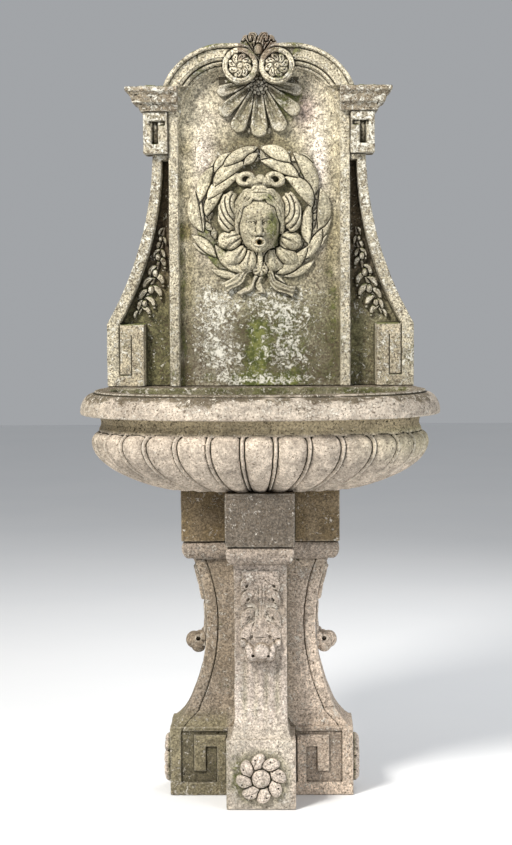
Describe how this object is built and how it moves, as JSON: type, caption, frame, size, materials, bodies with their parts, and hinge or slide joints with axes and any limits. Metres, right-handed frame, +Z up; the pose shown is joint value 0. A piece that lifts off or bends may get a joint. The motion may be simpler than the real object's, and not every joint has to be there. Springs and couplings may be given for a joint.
{
  "type": "garden wall fountain",
  "caption": "Carved stone wall fountain: arched back panel with a spouting mask, half-oval basin and console pedestal with pipework behind.",
  "frame": {"origin": "on the floor, under the middle of the bounding box", "axes": "+X to the viewer's right, +Y towards the wall, +Z up; the wall plane is Y = 0.252 m"},
  "size_m": [0.86, 0.504, 1.8252],
  "materials": {
    "pedestal_stone": "weathered, speckled grey-brown",
    "basin_stone": "weathered, pitted, pinkish cream",
    "panel_stone": "weathered cream with moss and lichen",
    "carving_stone": "weathered cream carving",
    "pipe_metal": "dull",
    "fixing_metal": "plain",
    "waste_metal": "dull",
    "seal_rubber": "matt",
    "waste_plastic": "grey waste pipe"
  },
  "bodies": {
    "fountain": {"acanthus_front": "pedestal_stone", "acanthus_left": "pedestal_stone", "acanthus_right": "pedestal_stone", "back_slab": "panel_stone", "basin": "basin_stone", "bed_dowels": "fixing_metal", "bracket_left": "panel_stone", "bracket_right": "panel_stone", "cornice_left": "panel_stone", "cornice_right": "panel_stone", "crest_palmette": "carving_stone", "foot_rosette_front": "pedestal_stone", "foot_rosette_left": "pedestal_stone", "foot_rosette_right": "pedestal_stone", "garland_left": "carving_stone", "garland_right": "carving_stone", "hair_locks": "carving_stone", "hood_left": "panel_stone", "hood_right": "panel_stone", "inlet_union": "pipe_metal", "leg_front": "pedestal_stone", "leg_left": "pedestal_stone", "leg_right": "pedestal_stone", "mask": "carving_stone", "panel_cramps": "fixing_metal", "pedestal_cap": "pedestal_stone", "pedestal_core": "pedestal_stone", "pipe_clips": "fixing_metal", "ribbon_bow": "carving_stone", "ribbon_tails": "carving_stone", "shell": "carving_stone", "spout_tube": "pipe_metal", "supply_elbows": "pipe_metal", "supply_riser": "pipe_metal", "volute_rosette_left": "carving_stone", "volute_rosette_right": "carving_stone", "wall_sockets": "fixing_metal", "waste_body": "waste_metal", "waste_elbow": "waste_plastic", "waste_locknut": "waste_metal", "waste_outlet": "waste_plastic", "waste_tail": "waste_plastic", "waste_washer": "seal_rubber", "wing_left": "panel_stone", "wing_right": "panel_stone", "wreath_left": "carving_stone", "wreath_right": "carving_stone"},
    "standpipe": {"overflow_standpipe": "waste_metal"}
  },
  "joints": [
    {"name": "standpipe_lift", "type": "slide", "parent": "fountain", "child": "standpipe", "axis": [0, 0, 1], "range_m": [0, 0.13]}
  ]
}
